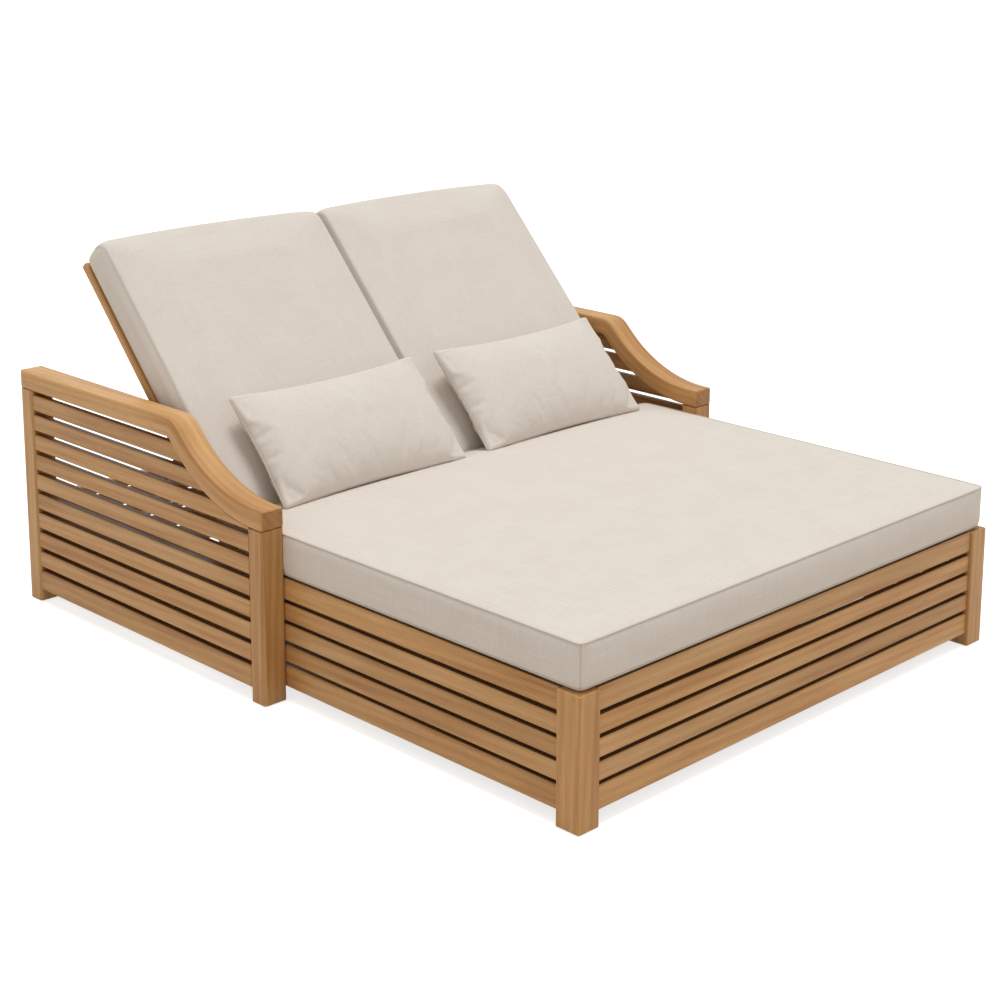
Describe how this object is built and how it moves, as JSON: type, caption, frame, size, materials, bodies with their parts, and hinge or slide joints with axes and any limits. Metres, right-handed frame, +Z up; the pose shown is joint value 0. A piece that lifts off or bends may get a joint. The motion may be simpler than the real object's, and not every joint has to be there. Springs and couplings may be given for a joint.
{
  "type": "double chaise lounger",
  "caption": "Low double chaise in slatted hardwood with S-curved arms, two backrests that recline one by one on notched props, box cushions and lumbar pillows",
  "frame": {"origin": "centre of the bounding box, on the floor", "axes": "+X to the right seen from the foot end, +Y from the foot end to the head end, +Z up"},
  "size_m": [1.65, 2, 1.0194],
  "materials": {
    "teak": "oiled, softly eased edges",
    "steel": "satin",
    "cushion_fabric": "slub linen weave",
    "glide": "moulded"
  },
  "bodies": {
    "frame": {"arm_back_post_left": "teak", "arm_back_post_right": "teak", "arm_bolts": "steel", "arm_bottom_rail_left": "teak", "arm_bottom_rail_right": "teak", "arm_front_post_left": "teak", "arm_front_post_right": "teak", "arm_slats_left": "teak", "arm_slats_right": "teak", "arm_top_rail_left": "teak", "arm_top_rail_right": "teak", "centre_beam": "teak", "centre_leg": "teak", "deck_slats": "teak", "floor_glides": "glide", "foot_bottom_rail": "teak", "foot_post_left": "teak", "foot_post_right": "teak", "foot_slats": "teak", "foot_top_rail": "teak", "head_bottom_rail": "teak", "head_corner_posts": "teak", "head_slats": "teak", "head_top_rail": "teak", "hinge_beam": "teak", "hinge_brackets": "steel", "inner_racks": "teak", "ledger_left": "teak", "ledger_right": "teak", "outer_racks": "teak", "seat_cushion": "cushion_fabric", "side_bottom_rail_left": "teak", "side_bottom_rail_right": "teak", "side_slats_left": "teak", "side_slats_right": "teak", "side_top_rail_left": "teak", "side_top_rail_right": "teak"},
    "back_left": {"back_stiles_left": "teak", "back_top_rail_left": "teak", "back_bottom_rail_left": "teak", "back_slats_left": "teak", "pivot_blocks_left": "teak", "hinge_pins_left": "steel", "prop_bolts_left": "steel", "back_cushion_left": "cushion_fabric"},
    "prop_left": {"prop_arms_left": "teak", "prop_bar_left": "steel"},
    "pillow_left": {"pillow_left": "cushion_fabric"},
    "back_right": {"back_stiles_right": "teak", "back_top_rail_right": "teak", "back_bottom_rail_right": "teak", "back_slats_right": "teak", "pivot_blocks_right": "teak", "hinge_pins_right": "steel", "prop_bolts_right": "steel", "back_cushion_right": "cushion_fabric"},
    "prop_right": {"prop_arms_right": "teak", "prop_bar_right": "steel"},
    "pillow_right": {"pillow_right": "cushion_fabric"}
  },
  "joints": [
    {"name": "recline_left", "type": "hinge", "parent": "frame", "child": "back_left", "pos_m": [-0.367, 0.23, 0.298], "axis": [1, 0, 0], "range_deg": [-47.5, 0]},
    {"name": "prop_fold_left", "type": "hinge", "parent": "back_left", "child": "prop_left", "pos_m": [-0.367, 0.45443, 0.50739], "axis": [1, 0, 0], "range_deg": [0, 90.3]},
    {"name": "pillow_lift_left", "type": "slide", "parent": "back_left", "child": "pillow_left", "axis": [0, -0.7373, 0.6756], "range_m": [0, 0.15]},
    {"name": "recline_right", "type": "hinge", "parent": "frame", "child": "back_right", "pos_m": [0.367, 0.23, 0.298], "axis": [1, 0, 0], "range_deg": [-47.5, 0]},
    {"name": "prop_fold_right", "type": "hinge", "parent": "back_right", "child": "prop_right", "pos_m": [0.367, 0.45443, 0.50739], "axis": [1, 0, 0], "range_deg": [0, 90.3]},
    {"name": "pillow_lift_right", "type": "slide", "parent": "back_right", "child": "pillow_right", "axis": [0, -0.7373, 0.6756], "range_m": [0, 0.15]}
  ],
  "couplings": [
    {"joint": "prop_fold_left", "follows": "recline_left", "ratio": -1.8995},
    {"joint": "prop_fold_right", "follows": "recline_right", "ratio": -1.8995}
  ]
}
